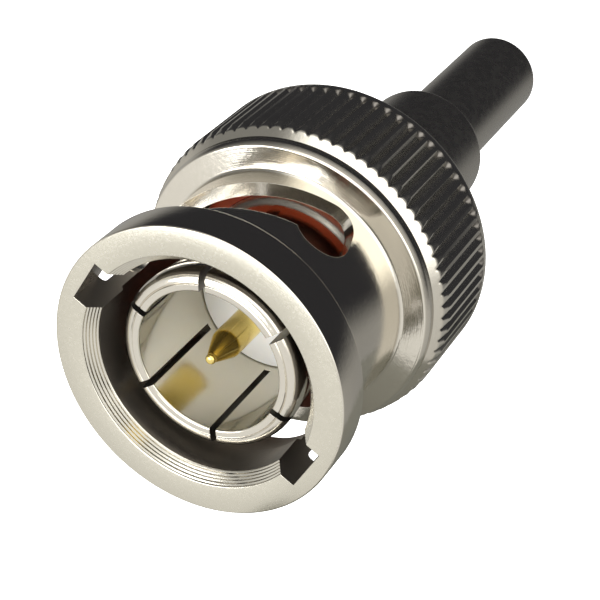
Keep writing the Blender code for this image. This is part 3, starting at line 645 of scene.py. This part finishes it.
nut_outline = [(CHAMFER_RADIUS, 0.0, 0.03), (FLANGE_RADIUS, 0.0, 0.08), (FLANGE_RADIUS, FLANGE_REAR, 0.07),
               (NECK_RADIUS, FLANGE_REAR, 0.20), (NECK_RADIUS, NECK_REAR, 0.18),
               (SHOULDER_RADIUS, NECK_REAR, 0.07), (LAND_RADIUS, LAND_FRONT, 0.03),
               (LAND_RADIUS, LAND_REAR, 0.0)]
nut_outline += rows((LAND_RADIUS, LAND_REAR), (KNURL_EDGE, KNURL_FRONT), CONE_ROWS)
nut_outline += rows((KNURL_EDGE, KNURL_FRONT), (KNURL_RADIUS, CROWN_REAR), CROWN_ROWS)
nut_outline += [(KNURL_RADIUS, GROOVE_FULL, 0.0)]
nut_outline += rows((KNURL_RADIUS, GROOVE_FULL), (KNURL_RADIUS, GROOVE_END), RUNOUT_ROWS)
nut_outline += [(KNURL_RADIUS, NUT_REAR, 0.28), (RECESS_RADIUS, NUT_REAR, 0.06),
                (RECESS_RADIUS, LIP_REAR, 0.03), (LIP_BORE, LIP_REAR, 0.03), (LIP_BORE, LIP_FRONT, 0.03),
                (NUT_BORE, LIP_FRONT, 0.0), (NUT_BORE, RACE_REARS[1], 0.0),
                (RACE_RADIUS, RACE_REARS[0], 0.0), (RACE_RADIUS, RACE_FRONTS[1], 0.0),
                (NUT_BORE, RACE_FRONTS[0], 0.0), (NUT_BORE, CHAMFER_REAR, 0.02)]
for row in range(1, 2 * CHAMFER_MARKS):
    share = row / (2 * CHAMFER_MARKS)
    mark = CHAMFER_MARK_DEPTH * (row % 2)
    nut_outline.append((NUT_BORE + share * (CHAMFER_RADIUS - NUT_BORE) + CHAMFER_INTO_METAL[0] * mark,
                        CHAMFER_REAR * (1.0 - share) + CHAMFER_INTO_METAL[1] * mark, 0.0))
nut_mesh = turned(nut_outline, NUT_SIDES)
knurled(nut_mesh)
nut = finished("coupling_nut", nut_mesh, bright_nickel, "coupling_nut")
cut_out(nut, [bar(NOTCH_REACH, NOTCH_WIDTH, -TOOL_LEAD, CAM_FRONT), cam_tool(0.0), cam_tool(math.pi)])

faced_nickel = turned_metal("faced_nickel", (0.68, 0.65, 0.56), 0.25, (0.04, 0.0016), (0.12, 0.0012))
rim_nickel = turned_metal("rim_nickel", (0.74, 0.71, 0.64), 0.19, (0.06, 0.0006), (0.30, 0.0002), 0.01)
# Painted shade: a darker nickel for the inward facing back walls of the entry notches.
notch_shade_nickel = turned_metal("notch_shade_nickel", (0.46, 0.43, 0.39), 0.28, (0.08, 0.0020), (0.12, 0.0030))
mouth_nickel = turned_metal("mouth_nickel", (0.74, 0.71, 0.63), 0.12, (0.05, 0.0030), (0.10, 0.0015), 0.01)
refinish(nut, faced_nickel, depths=(-1.0, 0.01), forward=(0.9, 2.0))
refinish(nut, rim_nickel, radii=(6.9, 99.0), depths=(KNURL_FRONT, 99.0))
# Painted shade on the rear ends of the knurl's grooves, which dims their glints.
refinish(nut, painted_shade_nickel, depths=(GROOVE_FULL, GROOVE_END), forward=(0.2, 2.0))
refinish(nut, mouth_nickel, radii=(0.0, 5.35), depths=(-1.0, MOUTH_REAR), outward=(-2.0, -0.3))
# Painted shade inside the nut's bore behind the mouth.
refinish(nut, painted_shade_nickel, radii=(0.0, 5.4), depths=(MOUTH_REAR, 99.0), outward=(-2.0, -0.3))
# Painted shade on the side walls of the entry notches.
refinish(nut, painted_shade_nickel, radii=(0.0, NOTCH_REACH), depths=(-1.0, CAM_FRONT), outward=(-0.45, 0.45),
         forward=(-0.3, 0.3))
# Painted shade on the back walls of the entry notches.
refinish(nut, notch_shade_nickel, radii=(5.5, 5.95), depths=(-1.0, CAM_FRONT), outward=(-2.0, -0.9))

# The floor: a plain white card under the plug. It glows evenly, so the picture's ground is white all over,
# and it is left out of reflections, which come from the studio round the plug.
FLOOR_REACH = 4.0           # metres from its middle to each edge
FLOOR_WHITE = (0.9, 0.9, 0.9, 1.0)
WHITE = (1.0, 1.0, 1.0, 1.0)

floor_mesh = bmesh.new()
bmesh.ops.create_grid(floor_mesh, x_segments=1, y_segments=1, size=FLOOR_REACH)
floor_data = bpy.data.meshes.new("floor")
floor_mesh.to_mesh(floor_data)
floor_mesh.free()
floor_card = bpy.data.materials.new("floor_card")
floor_card.use_nodes = True
floor_shader = floor_card.node_tree.nodes["Principled BSDF"]
floor_shader.inputs["Base Color"].default_value = FLOOR_WHITE
floor_shader.inputs["Emission Color"].default_value = WHITE
floor_shader.inputs["Emission Strength"].default_value = 1.0
floor_data.materials.append(floor_card)
floor = bpy.data.objects.new("floor", floor_data)
floor.visible_glossy = False
floor.visible_diffuse = False
floor.visible_transmission = False
floor.visible_shadow = False
bpy.context.scene.collection.objects.link(floor)

# The flag: a matt grey card that stands close behind the plug on the side of +X, with two smaller cards on
# top. It is painted shade: a dark sheet that stands for shaded ground beside the plug. It is kept out of the
# picture and only dims what the neck and the shoulder mirror there. Each card is given by its left, right,
# foot and top in metres.
FLAG_Y = -0.0085
FLAG_CARDS = ((0.0030, 0.0285, -0.001, 0.036), (0.0062, 0.0110, 0.036, 0.0405),
              (0.0110, 0.0200, 0.036, 0.045))
FLAG_SHADE_GREY = (0.20, 0.20, 0.18, 1.0)
FLAG_ROUGHNESS = 0.9

flag_mesh = bmesh.new()
for left, right, foot, top in FLAG_CARDS:
    corners = ((left, FLAG_Y, foot), (right, FLAG_Y, foot), (right, FLAG_Y, top), (left, FLAG_Y, top))
    flag_mesh.faces.new([flag_mesh.verts.new(corner) for corner in corners])
flag_data = bpy.data.meshes.new("flag")
flag_mesh.to_mesh(flag_data)
flag_mesh.free()
# Painted shade: the flag's dark grey.
flag_shade_grey = bpy.data.materials.new("flag_shade_grey")
flag_shade_grey.use_nodes = True
flag_shader = flag_shade_grey.node_tree.nodes["Principled BSDF"]
flag_shader.inputs["Base Color"].default_value = FLAG_SHADE_GREY
flag_shader.inputs["Roughness"].default_value = FLAG_ROUGHNESS
flag_data.materials.append(flag_shade_grey)
flag = bpy.data.objects.new("flag", flag_data)
flag.visible_camera = False
flag.visible_diffuse = False
flag.visible_shadow = False
bpy.context.scene.collection.objects.link(flag)

# The studio: pale walls with a grey corner, a dim low side in front of the plug, one tall soft window behind
# the camera and a softbox overhead. A rise is the height of a direction of length 1. Each foot and top is a
# range of rises, and each turn one of cosines, from where a tone starts to where it is full.
WALL_TONES = ((0.10, (0.32, 0.315, 0.30)), (0.40, (0.58, 0.57, 0.54)), (0.85, (0.92, 0.91, 0.88)))
CORNER_AZIMUTH = math.radians(172.0)
CORNER_TURN = (0.80, 0.97)
CORNER_FOOT = (-0.50, -0.20)
CORNER_TOP = (0.90, 0.45)
CORNER_GREY = (0.26, 0.26, 0.25)
DIM_AZIMUTH = math.radians(108.0)
DIM_SIDE = (-0.25, 0.12)                # shares along the azimuth
DIM_TOP = (-0.12, -0.45)
DIM_GREY = (0.031, 0.031, 0.035)
WINDOW_AZIMUTH = math.radians(84.0)
WINDOW_TURN = (0.42, 0.82)
WINDOW_FOOT = (-0.08, 0.03)
WINDOW_TOP = (0.93, 0.78)
WINDOW_LIGHT = (2.4, 2.4, 2.304)
LEAST_LEVEL = 0.01                      # of a direction's level part, so that straight up has a turn too
SOFTBOX_PLACE = (-0.13, -0.05, 0.42)
SOFTBOX_SIZE = 0.32
SOFTBOX_POWER = 1.1

world = bpy.data.worlds.new("studio")
bpy.context.scene.world = world
world.use_nodes = True
nodes, links = world.node_tree.nodes, world.node_tree.links
nodes.clear()
direction = nodes.new("ShaderNodeTexCoord").outputs["Generated"]
split = nodes.new("ShaderNodeSeparateXYZ")
links.new(direction, split.inputs[0])
rise = split.outputs["Z"]


def ease(value, low, high):
    """From 0 at low to 1 at high, softly."""
    step = nodes.new("ShaderNodeMapRange")
    step.interpolation_type = "SMOOTHSTEP"
    step.inputs["From Min"].default_value = low
    step.inputs["From Max"].default_value = high
    links.new(value, step.inputs["Value"])
    return step.outputs["Result"]


def combined(operation, *values):
    """The result of a math node on values, each a plain number or another node's output."""
    node = nodes.new("ShaderNodeMath")
    node.operation = operation
    for socket, value in zip(node.inputs, values):
        if isinstance(value, float):
            socket.default_value = value
        else:
            links.new(value, socket)
    return node.outputs[0]


def towards(azimuth):
    """How far a direction points to an azimuth: its share along it, and the cosine of the turn from it."""
    along = nodes.new("ShaderNodeVectorMath")
    along.operation = "DOT_PRODUCT"
    along.inputs[1].default_value = (math.cos(azimuth), math.sin(azimuth), 0.0)
    links.new(direction, along.inputs[0])
    level = combined("SQRT", combined("SUBTRACT", 1.0, combined("MULTIPLY", rise, rise)))
    level = combined("MAXIMUM", level, LEAST_LEVEL)
    return along.outputs["Value"], combined("DIVIDE", along.outputs["Value"], level)


def mixed(share, base, colour):
    """A base tone that gives way to a plain colour by a share."""
    mix = nodes.new("ShaderNodeMix")
    mix.data_type = "RGBA"
    mix.inputs["B"].default_value = (*colour, 1.0)
    links.new(share, mix.inputs["Factor"])
    links.new(base, mix.inputs["A"])
    return mix.outputs["Result"]


walls = nodes.new("ShaderNodeValToRGB")
low_tone, horizon_tone, high_tone = WALL_TONES
walls.color_ramp.elements[0].position = low_tone[0]
walls.color_ramp.elements[0].color = (*low_tone[1], 1.0)
walls.color_ramp.elements[1].position = high_tone[0]
walls.color_ramp.elements[1].color = (*high_tone[1], 1.0)
walls.color_ramp.elements.new(horizon_tone[0]).color = (*horizon_tone[1], 1.0)
links.new(combined("MULTIPLY_ADD", rise, 0.5, 0.5), walls.inputs["Fac"])
_, corner_turn = towards(CORNER_AZIMUTH)
corner_height = combined("MULTIPLY", ease(rise, *CORNER_FOOT), ease(rise, *CORNER_TOP))
corner = combined("MULTIPLY", ease(corner_turn, *CORNER_TURN), corner_height)
dim_along, _ = towards(DIM_AZIMUTH)
dim = combined("MULTIPLY", ease(dim_along, *DIM_SIDE), ease(rise, *DIM_TOP))
_, window_turn = towards(WINDOW_AZIMUTH)
window_height = combined("MULTIPLY", ease(rise, *WINDOW_FOOT), ease(rise, *WINDOW_TOP))
window = combined("MULTIPLY", ease(window_turn, *WINDOW_TURN), window_height)
tone = mixed(corner, walls.outputs["Color"], CORNER_GREY)
tone = mixed(dim, tone, DIM_GREY)
tone = mixed(window, tone, WINDOW_LIGHT)
tone = mixed(nodes.new("ShaderNodeLightPath").outputs["Is Camera Ray"], tone, WHITE[:3])
glow = nodes.new("ShaderNodeBackground")
links.new(tone, glow.inputs["Color"])
links.new(glow.outputs[0], nodes.new("ShaderNodeOutputWorld").inputs[0])

softbox = bpy.data.objects.new("softbox", bpy.data.lights.new("softbox", "AREA"))
softbox.data.shape = "DISK"
softbox.data.size = SOFTBOX_SIZE
softbox.data.energy = SOFTBOX_POWER
softbox.location = SOFTBOX_PLACE
to_mouth = Vector((0.0, 0.0, FACE_HEIGHT)) - Vector(SOFTBOX_PLACE)
softbox.rotation_euler = to_mouth.to_track_quat("-Z", "Y").to_euler()
bpy.context.scene.collection.objects.link(softbox)
bpy.context.scene.view_settings.view_transform = "Standard"
